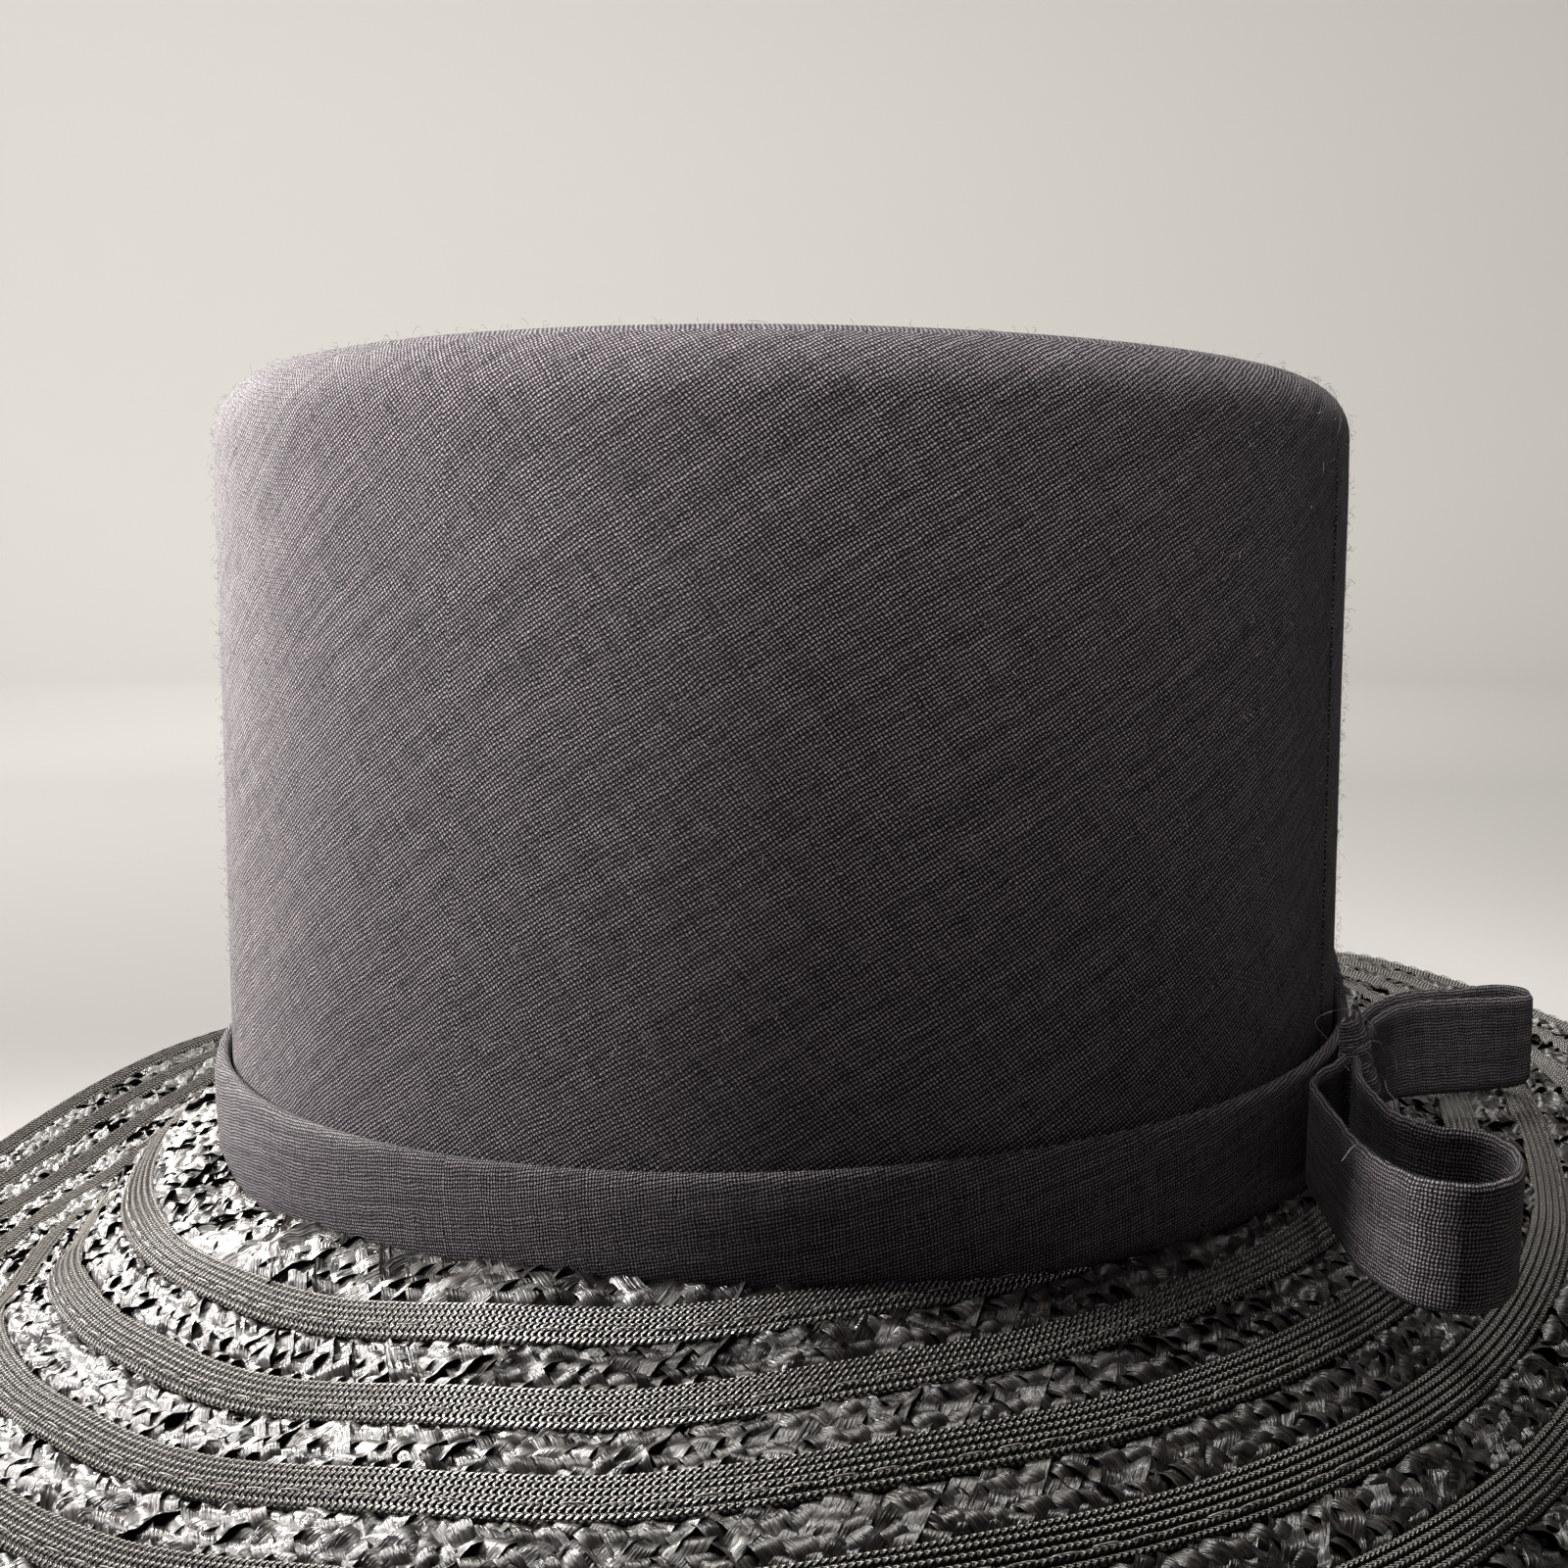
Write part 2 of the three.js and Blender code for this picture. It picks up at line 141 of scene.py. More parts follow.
# Section of the band: distance out from the crown in millimetres, and share of the band's height.
BAND_PROFILE = (
    (0.0, 0.0), (0.0, 0.5), (0.0, 0.93), (0.35, 0.985), (1.0, 1.0), (1.65, 0.985), (2.05, 0.955),
    (2.3, 0.91), (2.7, 0.75), (2.8, 0.55), (2.75, 0.4), (2.7, 0.25), (2.5, 0.13), (2.2, 0.05),
    (1.9, 0.0), (1.2, 0.0), (0.0, 0.0),
)

# Middle line of each loop's wall in plan, round the crown from the knot's side and out from the band's face.
LEFT_LINE = (
    (0, 0.05), (0.17, 0.08), (0.343, 0.138), (0.523, 0.219), (0.592, 0.317), (0.592, 0.411),
    (0.655, 0.483), (0.787, 0.509), (0.909, 0.487), (0.991, 0.411), (0.996, 0.326), (0.928, 0.245),
    (0.806, 0.166), (0.655, 0.102), (0.475, 0.034), (0.279, -0.022), (0.06, 0.012), (0, 0.017),
)
RIGHT_LINE = (
    (0, 0.05), (0.242, 0.098), (0.443, 0.215), (0.589, 0.332), (0.692, 0.415), (0.755, 0.449), (0.825, 0.426),
    (0.834, 0.366), (0.762, 0.287), (0.647, 0.208), (0.509, 0.125), (0.285, 0.049), (0.06, 0.019), (0, 0.017),
)
LOOPS = {
    "bow_loop_left": dict(side=-1, line=LEFT_LINE, lean=0.0),
    "bow_loop_right": dict(side=1, line=RIGHT_LINE, lean=0.18),
}


# Meshes.

def faces_of(count, rows, cols):
    """Two triangles for each cell of count grids of rows by cols points, as places in the list of points."""
    i, j = np.meshgrid(np.arange(rows - 1), np.arange(cols - 1), indexing="ij")
    a = (i * cols + j).ravel()
    cell = np.concatenate([np.stack([a, a + cols, a + cols + 1], 1), np.stack([a, a + cols + 1, a + 1], 1)])
    return (np.arange(count)[:, None, None] * rows * cols + cell[None]).reshape(-1, 3)


def make_piece(name, grids, material):
    """One mesh from grids of points with their uv. A closed grid repeats its first row or column at its end.
    Points at the same place are welded, which also closes the poles, and closed grids are turned to face
    outwards."""
    all_points, all_faces, all_uv, start = [], [], [], 0
    for points, uv, closed in grids:
        points = np.asarray(points, float)
        rows, cols = points.shape[-3:-1]
        flat = points.reshape(-1, 3)
        faces = faces_of(len(flat) // (rows * cols), rows, cols)
        corner_uv = np.broadcast_to(uv, points.shape[:-1] + (2,)).reshape(-1, 2)[faces]
        places = (flat / WELD).round().astype(np.int64)
        _, first, back = np.unique(places, axis=0, return_index=True, return_inverse=True)
        flat, faces = flat[first], back.reshape(-1)[faces]
        kept = (faces[:, 0] != faces[:, 1]) & (faces[:, 1] != faces[:, 2]) & (faces[:, 2] != faces[:, 0])
        faces, corner_uv = faces[kept], corner_uv[kept]
        if closed:
            a, b, c = (flat[faces[:, k]] for k in range(3))
            if np.einsum("ij,ij->", a, np.cross(b, c)) < 0:
                faces, corner_uv = faces[:, ::-1], corner_uv[:, ::-1]
        all_points.append(flat)
        all_faces.append(faces + start)
        all_uv.append(corner_uv.reshape(-1, 2))
        start += len(flat)
    points, faces, uv = (np.concatenate(part) for part in (all_points, all_faces, all_uv))
    mesh = bpy.data.meshes.new(name)
    mesh.vertices.add(len(points))
    mesh.vertices.foreach_set("co", points.astype(np.float32).ravel())
    mesh.loops.add(faces.size)
    mesh.loops.foreach_set("vertex_index", faces.astype(np.int32).ravel())
    mesh.polygons.add(len(faces))
    mesh.polygons.foreach_set("loop_start", np.arange(0, faces.size, 3, dtype=np.int32))
    mesh.polygons.foreach_set("use_smooth", np.full(len(faces), True))
    mesh.uv_layers.new(name="laid").data.foreach_set("uv", uv.astype(np.float32).ravel())
    mesh.update(calc_edges=True)
    mesh.materials.append(material)
    piece = bpy.data.objects.new(name, mesh)
    bpy.context.scene.collection.objects.link(piece)
    return piece


def dress(piece, slot, *nodes):
    """The piece rides on the hat and stands for CAD nodes. Its slot is not used."""
    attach(piece, "root")
    if nodes:
        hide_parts(*nodes)
    return piece


def capped(body):
    """A grid of sections whose ends are closed by the middle points of its first and last sections."""
    first, last = (np.repeat(body[k].mean(0)[None, None], body.shape[1], 1) for k in (0, -1))
    return np.concatenate([first, body, last])


def lengths(line, power=1):
    """Length from the start of a line to each of its points, with each step raised to a power."""
    return np.concatenate([[0], np.cumsum(np.linalg.norm(np.diff(line, axis=0), axis=1) ** power)])


def rise_of(points):
    """Length in millimetres from the first column of a grid of points to each of its columns."""
    return np.cumsum(np.linalg.norm(np.diff(points, axis=1, prepend=points[:, :1]), axis=-1), 1) / MM


def unit(vectors):
    return vectors / np.linalg.norm(vectors, axis=-1, keepdims=True)


def mix(a, b, t):
    return a + (b - a) * t


def wobble(along, period, seed, sines=11):
    """Smooth noise of height about 1: sines of 1, 2, 3 and more turns round a period, with random phases."""
    chance = np.random.default_rng(seed)
    total = np.zeros_like(along, float)
    for k in range(1, sines + 1):
        total += chance.normal() / k ** 0.7 * np.sin(TURN * k * along / period + chance.uniform(0, TURN))
    return total / 2


# Reading the part.

def corners(node):
    """The separate points of a CAD node's mesh."""
    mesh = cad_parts[node].data
    places = np.empty(len(mesh.vertices) * 3)
    mesh.vertices.foreach_get("co", places)
    return np.unique(places.reshape(-1, 3).round(6), axis=0)


def stations(node, middle, share):
    """A ring's points grouped by azimuth round a middle, share points to a station. Gives back the groups,
    their azimuths and whether the ring is closed."""
    points = corners(node)
    away = points[:, :2] - middle
    points = points[np.hypot(away[:, 0], away[:, 1]) > RING_CLEARANCE]
    away = points[:, :2] - middle
    azimuth = (np.degrees(np.arctan2(away[:, 1], away[:, 0])) + HALF_STATION) % 360
    order = np.argsort(azimuth)
    groups = points[order].reshape(-1, share, 3)
    mean = azimuth[order].reshape(-1, share).mean(1)
    step = (np.roll(mean, -1) - mean) % 360
    closed = step.max() < 3 * HALF_STATION
    if not closed:
        shift = -(int(step.argmax()) + 1)
        groups, mean = np.roll(groups, shift, 0), np.roll(mean, shift)
    return groups, np.radians(mean - HALF_STATION), closed


def row_rails(node):
    """The four long edges of a row of braid: top inside, top outside, bottom inside, bottom outside."""
    groups, _, closed = stations(node, BRIM_MIDDLE, 4)
    radius = np.linalg.norm(groups[..., :2] - BRIM_MIDDLE, axis=-1)
    groups = np.take_along_axis(groups, np.argsort(radius, 1)[..., None], 1)
    pairs = groups.reshape(-1, 2, 2, 3)
    pairs = np.take_along_axis(pairs, np.argsort(-pairs[..., 2], 2)[..., None], 2)
    return pairs[:, 0, 0], pairs[:, 1, 0], pairs[:, 0, 1], pairs[:, 1, 1], closed


def refined(rail, places, closed):
    """Catmull-Rom curve through a rail's points, at places counted in points from its start."""
    count = len(rail)
    low = np.floor(places).astype(int)
    t = (places - low)[:, None]

    def pick(k):
        return rail[(low + k) % count if closed else np.clip(low + k, 0, count - 1)]

    p, q, r, s = (pick(k) for k in (-1, 0, 1, 2))
    square, cube = 2 * p - 5 * q + 4 * r - s, 3 * q - p - 3 * r + s
    return 0.5 * (2 * q + (r - p) * t + square * t ** 2 + cube * t ** 3)


class Row:
    """A row of braid: its rails at even steps along it, the length at each step and the way off its face."""

    def __init__(self, node, step):
        *rails, self.closed = row_rails(node)
        last = len(rails[0]) if self.closed else len(rails[0]) - 1
        places = np.linspace(0, last, FINE_STEPS)
        middle = refined((rails[0] + rails[1]) / 2, places, self.closed)
        run = lengths(middle)
        self.length = run[-1]
        self.steps = int(round(self.length / step))
        self.along = np.linspace(0, self.length, self.steps + 1)
        at = np.interp(self.along, run, places)
        self.inside, self.outside, self.low_inside, self.low_outside = (
            refined(rail, at, self.closed) for rail in rails)
        self.up = unit(self.inside + self.outside - self.low_inside - self.low_outside)
        self.across = unit(self.outside - self.inside)
        self.width = np.linalg.norm(self.outside - self.inside, axis=1)

    def at(self, along, from_outside, lift):
        """Point of the row's face at a length along it and a distance in from its outer edge, lifted."""
        along, from_outside, lift = np.broadcast_arrays(along, from_outside, lift)
        place = along / self.length * self.steps
        place = np.mod(place, self.steps) if self.closed else np.clip(place, 0, self.steps - 1e-6)
        low = np.floor(place).astype(int)
        t = (place - low)[..., None]
        high = np.minimum(low + 1, self.steps)
        edge, across, up = (mix(a[low], a[high], t) for a in (self.outside, self.across, self.up))
        return edge - across * from_outside[..., None] + up * lift[..., None]


# Materials.

def linear(colour):
    """Linear red, green, blue and alpha of an sRGB hex value."""
    shares = np.array([int(colour[k:k + 2], 16) for k in (1, 3, 5)]) / 255
    shares = np.where(shares <= 0.04045, shares / 12.92, ((shares + 0.055) / 1.055) ** 2.4)
    return (*shares.tolist(), 1.0)


def add(tree, kind, inputs=None, **settings):
    """A node with its settings and its inputs, each a value or a socket to link."""
    made = tree.nodes.new(kind)
    for key, value in settings.items():
        setattr(made, key, value)
    for key, value in (inputs or {}).items():
        if isinstance(value, bpy.types.NodeSocket):
            tree.links.new(value, made.inputs[key])
        else:
            made.inputs[key].default_value = value
    return made


def maths(tree, operation, *values):
    return add(tree, "ShaderNodeMath", dict(enumerate(values)), operation=operation).outputs[0]


def vector_maths(tree, operation, *values):
    return add(tree, "ShaderNodeVectorMath", dict(enumerate(values)), operation=operation).outputs


def noise(tree, vector, scale, detail, **more):
    inputs = {"Vector": vector, "Scale": scale, "Detail": detail, **more}
    return add(tree, "ShaderNodeTexNoise", inputs).outputs


def drawn_out(tree, across, across_scale, forth, forth_scale):
    """A place for noise that is drawn out along a thread: the places across and along it, each scaled."""
    x, y = maths(tree, "MULTIPLY", across, across_scale), maths(tree, "MULTIPLY", forth, forth_scale)
    return add(tree, "ShaderNodeCombineXYZ", {0: x, 1: y}).outputs[0]


def emboss(tree, shader, height, depth):
    """Bump a surface by a height from 0 to 1, which stands for a depth in metres."""
    bump = add(tree, "ShaderNodeBump", {"Strength": 1.0, "Distance": depth, "Height": height})
    tree.links.new(bump.outputs[0], shader.inputs["Normal"])


def ramp(tree, value, *stops):
    """A colour ramp through stops of place and sRGB hex."""
    made = add(tree, "ShaderNodeValToRGB", {0: value})
    while len(made.color_ramp.elements) < len(stops):
        made.color_ramp.elements.new(0.5)
    for element, (place, colour) in zip(made.color_ramp.elements, stops):
        element.position = place
        element.color = linear(colour)
    return made.outputs[0]


def new_material(name):
    made = bpy.data.materials.new(name)
    made.use_nodes = True
    return made, made.node_tree, made.node_tree.nodes["Principled BSDF"]


def plain_weave_cloth():
    """Linen-like cotton cloth dyed black, plain weave of slubby threads: matt, furry at grazing angles, with
    long thick places in the threads that show as streaks. The threads' tops are coloured charcoal to pale grey
    and the gaps between them near black: a painted highlight on the tops and painted shade in the gaps."""
    made, tree, shader = new_material("plain_weave_cloth")
    laid = add(tree, "ShaderNodeUVMap", uv_map="laid").outputs[0]
    uneven = noise(tree, laid, 0.35, 2.0)["Color"]
    pushed = vector_maths(tree, "SUBTRACT", uneven, (0.5, 0.5, 0.5))[0]
    pushed = add(tree, "ShaderNodeVectorMath", {0: pushed, "Scale": 0.8}, operation="SCALE").outputs[0]
    pushed = vector_maths(tree, "ADD", laid, pushed)[0]
    humps, thick, streaks = [], [], []
    for pitch, climb in ((WEFT_PITCH, WEFT_CLIMB), (WARP_PITCH, WARP_CLIMB)):
        over = (-np.sin(climb), np.cos(climb), 0)
        run = (np.cos(climb), np.sin(climb), 0)
        across = vector_maths(tree, "DOT_PRODUCT", pushed, over)["Value"]
        forth = vector_maths(tree, "DOT_PRODUCT", pushed, run)["Value"]
        humps.append(maths(tree, "SINE", maths(tree, "MULTIPLY", across, np.pi / pitch)))
        thick.append(noise(tree, drawn_out(tree, across, 1.1 / pitch, forth, 0.16), 1.0, 1.0)[0])
        streaks.append(noise(tree, drawn_out(tree, across, 0.9, forth, 0.025), 1.0, 2.0)[0])
    on_top = maths(tree, "GREATER_THAN", maths(tree, "MULTIPLY", humps[0], humps[1]), 0.0)
    round_weft, round_warp = (maths(tree, "ABSOLUTE", hump) for hump in humps)
    under_warp = maths(tree, "MULTIPLY", round_weft, maths(tree, "MULTIPLY_ADD", round_warp, 0.4, 0.6))
    under_weft = maths(tree, "MULTIPLY", round_warp, maths(tree, "MULTIPLY_ADD", round_weft, 0.4, 0.6))
    weft = maths(tree, "MULTIPLY", under_warp, maths(tree, "MULTIPLY_ADD", thick[0], 0.8, 0.6))
    warp = maths(tree, "MULTIPLY", under_weft, maths(tree, "MULTIPLY_ADD", thick[1], 0.8, 0.55))
    height = add(tree, "ShaderNodeMix", {0: on_top, 2: warp, 3: weft}, data_type="FLOAT").outputs[0]
    fur = noise(tree, laid, 4.0, 3.0, Roughness=0.7)[0]
    rough_height = maths(tree, "MULTIPLY_ADD", fur, 0.3, maths(tree, "SUBTRACT", height, 0.15))
    streak = maths(tree, "ADD", streaks[0], maths(tree, "MULTIPLY", streaks[1], 0.4))
    shade = maths(tree, "MULTIPLY", rough_height, maths(tree, "MULTIPLY_ADD", streak, 0.45, 0.7))
    # Painted highlight and shade: thread tops pale grey, gaps between threads near black. The streaks and fur
    # are the cloth's own uneven tone.
    colour = ramp(tree, shade, (0.2, "#040405"), (0.45, "#1f1d20"), (0.7, "#4d494b"), (0.95, "#8f898a"))
    tree.links.new(colour, shader.inputs["Base Color"])
    shader.inputs["Roughness"].default_value = 0.85
    shader.inputs["Specular IOR Level"].default_value = 0.15
    shader.inputs["Sheen Weight"].default_value = 0.07
    shader.inputs["Sheen Roughness"].default_value = 0.45
    shader.inputs["Sheen Tint"].default_value = linear("#a9a9b6")
    emboss(tree, shader, rough_height, 0.22 * MM)
    return made


def horsehair_braid():
    """Nylon monofilament braid dyed black: satin filaments slant both ways off each cord, in a herringbone.
    The crests of the filaments are coloured pale grey, a painted highlight of their gloss, and the gaps between
    them near black, painted shade. It is drawn coarser than the real one so that it shows."""
    made, tree, shader = new_material("horsehair_braid")
    laid = add(tree, "ShaderNodeUVMap", uv_map="laid").outputs[0]
    place = add(tree, "ShaderNodeSeparateXYZ", {0: laid})
    ridge = maths(tree, "FRACT", place.outputs[1])
    off = maths(tree, "ABSOLUTE", maths(tree, "SUBTRACT", ridge, 0.5))
    slant = maths(tree, "MULTIPLY_ADD", off, 1.3, place.outputs[0])
    beat = maths(tree, "MULTIPLY", slant, TURN / MESH_PITCH)
    strand = maths(tree, "MULTIPLY_ADD", maths(tree, "SINE", beat), 0.5, 0.5)
    cord = maths(tree, "SUBTRACT", 1.05, maths(tree, "MULTIPLY", off, 2.0))
    height = maths(tree, "MULTIPLY", strand, maths(tree, "POWER", cord, 0.5))
    fine = noise(tree, laid, 1.3, 2.0)[0]
    height = maths(tree, "MULTIPLY", height, maths(tree, "MULTIPLY_ADD", fine, 1.0, 0.5))
    # Painted highlight on the filaments' crests and painted shade in the gaps between them.
    colour = ramp(tree, height, (0.3, "#020202"), (0.55, "#201f1e"), (0.82, "#aaa49b"))
    tree.links.new(colour, shader.inputs["Base Color"])
    shader.inputs["Roughness"].default_value = 0.26
    shader.inputs["Specular IOR Level"].default_value = 0.7
    emboss(tree, shader, height, 0.35 * MM)
    return made


def glossy_straw():
    """Split straw dyed black and pressed flat: glossy, crumpled, with fine lines along each strip. The paler
    greys of the lines and patches are partly the straw's own grain and partly a painted sheen.
    """
    made, tree, shader = new_material("glossy_straw")
    laid = add(tree, "ShaderNodeUVMap", uv_map="laid").outputs[0]
    drawn = add(tree, "ShaderNodeMapping", {0: laid, "Scale": (0.3, 4.0, 1)}).outputs[0]
    lines = noise(tree, drawn, 1.0, 3.0)[0]
    patches = noise(tree, laid, 0.5, 2.0)[0]
    # Partly painted sheen: the lines and patches run up to a mid grey, paler than the black dye. Partly the
    # straw's own grain.
    colour = ramp(tree, maths(tree, "MULTIPLY_ADD", lines, 0.6, maths(tree, "MULTIPLY", patches, 0.4)),
                  (0.35, "#080707"), (0.52, "#262321"), (0.76, "#726b64"))
    tree.links.new(colour, shader.inputs["Base Color"])
    rough = maths(tree, "MULTIPLY_ADD", patches, 0.4, 0.12)
    tree.links.new(rough, shader.inputs["Roughness"])
    shader.inputs["Specular IOR Level"].default_value = 0.9
    emboss(tree, shader, lines, 0.25 * MM)
    return made


def spun_thread():
    """Spun polyester sewing thread, black, with a twist too fine to show. It is coloured mid to pale grey in
    fine patches, a painted sheen on the black thread.
    """
    made, tree, shader = new_material("spun_thread")
    where = add(tree, "ShaderNodeTexCoord").outputs["Object"]
    sheen_patches = noise(tree, where, 1800.0, 1.0)[0]
    # Painted sheen: the black thread is coloured mid to pale grey.
    tree.links.new(ramp(tree, sheen_patches, (0.3, "#4a4746"), (0.7, "#aaa49e")), shader.inputs["Base Color"])
    shader.inputs["Roughness"].default_value = 0.45
    return made


def cotton_fibre():
    """Loose cotton fibre off the cloth: grey, matt and paler than the dyed threads because it is so thin."""
    made, tree, shader = new_material("cotton_fibre")
    where = add(tree, "ShaderNodeTexCoord").outputs["Object"]
    patches = noise(tree, where, 300.0, 1.0)[0]
    tree.links.new(ramp(tree, patches, (0.35, "#3b3839"), (0.7, "#8d8788")), shader.inputs["Base Color"])
    shader.inputs["Roughness"].default_value = 0.7
    return made


CLOTH = plain_weave_cloth()
FIBRE = cotton_fibre()
HORSEHAIR = horsehair_braid()
STRAW = glossy_straw()
THREAD = spun_thread()


# Crown.

def tip_height(x, y):
    """Height of the flat tip, a plane that climbs towards TIP_CLIMB."""
    climb = (x - CROWN_MIDDLE[0]) * np.cos(TIP_CLIMB) + (y - CROWN_MIDDLE[1]) * np.sin(TIP_CLIMB)
    return TIP_HEIGHT + climb * np.tan(TIP_TILT)


def oval(azimuth, girth, inset):
    """Point of the crown's oval at a share of its girth, set in from it by a level distance."""
    x = CROWN_MIDDLE[0] + (CROWN_HALF[0] * girth - inset) * np.cos(azimuth)
    y = CROWN_MIDDLE[1] + (CROWN_HALF[1] * girth - inset) * np.sin(azimuth)
    return np.broadcast_arrays(x, y)


def on_grain(across, up, turn, scale):
    """The uv of cloth cut turned by an angle from the crown's grain and woven coarser by a scale."""
    across, up = np.broadcast_arrays(across, up)
    cos, sin = np.cos(turn) / scale, np.sin(turn) / scale
    return np.stack([across * cos - up * sin, across * sin + up * cos], -1)


def ring_heights(node, share, choose):
    """A height at each azimuth of a ring node, as a function of azimuth."""
    groups, _, _ = stations(node, CROWN_MIDDLE, share)
    away = groups[..., :2] - CROWN_MIDDLE
    radius = np.linalg.norm(away, axis=-1)
    place = choose(radius, groups[..., 2])
    picked = np.take_along_axis(groups, place[:, None, None], 1)[:, 0]
    level = (picked[:, :2] - CROWN_MIDDLE) / CROWN_HALF
    azimuth = np.arctan2(level[:, 1], level[:, 0])
    order = np.argsort(azimuth % TURN)
    return lambda a: np.interp(a, (azimuth % TURN)[order], picked[order, 2], period=TURN)


def lap(azimuth):
    """Step where the cloth laps over itself at the seam, full just past it and fading out round the crown."""
    past = (azimuth - SEAM_AZIMUTH) % TURN
    return SEAM_STEP * np.clip(1 - past / SEAM_FADE, 0, 1) ** 1.5


def oval_run(azimuth):
    """Length round the crown from azimuth 0."""
    fine = np.linspace(-0.1, TURN + 0.1, 4000)
    speed = np.hypot(CROWN_HALF[0] * np.sin(fine), CROWN_HALF[1] * np.cos(fine))
    total = np.concatenate([[0], np.cumsum((speed[1:] + speed[:-1]) / 2 * np.diff(fine))])
    return np.interp(azimuth, fine, total)


def crown():
    """The side is an oval whose girth is read from a table by height, the edge a quarter turn whose radius
    swings round it, and the tip a tilted plane. The inside is the same, one wall in."""
    near = SEAM_AZIMUTH + np.radians((-0.6, -0.25, -0.12, -0.02, 0.05, 0.12, 0.25, 0.6))
    azimuth = np.unique(np.concatenate([np.linspace(0, TURN, 361), near]))[:, None]
    foot = ring_heights("crown", 14, lambda radius, z: radius.argmax(1))(azimuth)

    def face(inset, steps):
        share = np.linspace(0, 1, steps)[None]
        girth = np.interp(share, GIRTH_HEIGHTS, GIRTHS)
        shell = 1.0 if inset == 0 else 0.0
        uneven = shell * MM * (0.14 * wobble(azimuth, TURN, 3) + 0.1 * wobble(azimuth + 1.5 * share, TURN, 5))
        step_out = shell * lap(azimuth) * np.clip((1 - share) * 12, 0, 1) + uneven
        x, y = oval(azimuth, girth, inset - step_out)
        radius = TIP_EDGE + TIP_EDGE_SWING * np.cos(azimuth - TIP_CLIMB)
        ex, ey = oval(azimuth, GIRTHS[-1], inset)
        z = mix(foot, tip_height(ex, ey) - radius, share)
        side = np.stack(np.broadcast_arrays(x, y, z), -1)
        turn = np.linspace(0, np.pi / 2, 10)[None, 1:]
        rounding = radius - inset
        bend_inset = inset + rounding * (1 - np.cos(turn)) - uneven[:, -1:] * np.cos(turn)
        bx, by = oval(azimuth, GIRTHS[-1], bend_inset)
        bz = tip_height(bx, by) - inset - rounding * (1 - np.sin(turn))
        bend = np.stack(np.broadcast_arrays(bx, by, bz), -1)
        shrink = np.linspace(1, 0, 14)[None, 1:]
        tx = mix(CROWN_MIDDLE[0], bx[:, -1:], shrink)
        ty = mix(CROWN_MIDDLE[1], by[:, -1:], shrink)
        tip = np.stack([tx, ty, tip_height(tx, ty) - inset + 0 * tx], -1)
        return side, bend, tip

    run = oval_run(azimuth) / MM
    side, bend, tip = face(0, 40)
    wall = np.concatenate([side, bend[:, :6]], 1)
    lid = np.concatenate([bend[:, 5:], tip], 1)
    wall_uv = np.stack(np.broadcast_arrays(run, rise_of(wall)), -1)
    lid_uv = lid[..., :2] / MM
    inner = np.concatenate(face(CROWN_WALL, 12), 1)
    inner_uv = np.stack(np.broadcast_arrays(run, rise_of(inner)), -1)
    hem = np.stack([inner[:, 0], wall[:, 0]], 1)
    hem_uv = np.stack([inner_uv[:, 0], wall_uv[:, 0]], 1)
    grids = [
        (wall, wall_uv, False),
        (lid, lid_uv, False),
        (inner[:, ::-1], inner_uv[:, ::-1], False),
        (hem, hem_uv, False),
    ]
    return dress(make_piece("crown_cloth", grids, CLOTH), "cloth", "crown")


# Band.

def hat_band():
    """A profile carried round the crown: up its inside, over a rounded top fold, down a bulged face and in
    under a tucked lower fold. It lies flat under the bow. Its top and foot follow the part's ring."""
    azimuth = np.linspace(0, TURN, 361)[:, None]
    top = ring_heights("hat_band", 6, lambda radius, z: z.argmax(1))(azimuth)
    low = ring_heights("hat_band", 6, lambda radius, z: z.argmin(1))(azimuth)
    out, share = np.array(BAND_PROFILE).T
    fine = np.linspace(0, len(out) - 1, 49)
    out, share = (np.interp(fine, np.arange(len(side)), side) for side in (out * MM, share))
    pressed = 1 - np.exp(-((azimuth - BOW_AZIMUTH) / BAND_PRESSED) ** 2)
    out = np.minimum(out, BAND_WALL) + np.clip(out - BAND_WALL, 0, None) * pressed
    ripple = BAND_RIPPLE * wobble(azimuth + 0.4 * share, TURN, 11, sines=19)
    ripple = ripple * np.clip(out / BAND_WALL, 0, 1) * pressed
    x, y = oval(azimuth, GIRTHS[0], -SEAM_GAP - out - ripple)
    z = mix(low, top, share)
    points = np.stack(np.broadcast_arrays(x, y, z), -1)
    uv = on_grain(oval_run(azimuth) / MM, rise_of(points), BAND_GRAIN, BAND_SCALE)
    piece = dress(make_piece("hat_band_cloth", [(points, uv, True)], CLOTH), "cloth", "hat_band")
    return piece


# Bow.

def bow_face():
    """Middle of the bow on the band's face: the way out there is +Y, and the way round the crown is -X."""
    return np.array((CROWN_MIDDLE[0], CROWN_MIDDLE[1] + CROWN_HALF[1] * GIRTHS[0] + 2 * SEAM_GAP + BAND_WALL))


def smooth_line(points, count):
    """Centripetal Catmull-Rom curve through points, at count even steps of its length."""
    points = np.concatenate([[2 * points[0] - points[1]], points, [2 * points[-1] - points[-2]]])
    knots = lengths(points, 0.5)
    t = np.linspace(knots[1], knots[-2], 1500)
    low = np.clip(np.searchsorted(knots, t, "right") - 1, 1, len(points) - 3)
    k = [knots[low + step] for step in (-1, 0, 1, 2)]
    p = [points[low + step] for step in (-1, 0, 1, 2)]

    def blend(a, b, i, j):
        wide = k[j] - k[i]
        return ((k[j] - t) / wide)[:, None] * a + ((t - k[i]) / wide)[:, None] * b

    first, second, third = blend(p[0], p[1], 0, 1), blend(p[1], p[2], 1, 2), blend(p[2], p[3], 2, 3)
    line = blend(blend(first, second, 0, 2), blend(second, third, 1, 3), 1, 2)
    run = lengths(line)
    even = np.linspace(0, run[-1], count)
    return np.stack([np.interp(even, run, line[:, axis]) for axis in range(line.shape[1])], 1), run[-1]


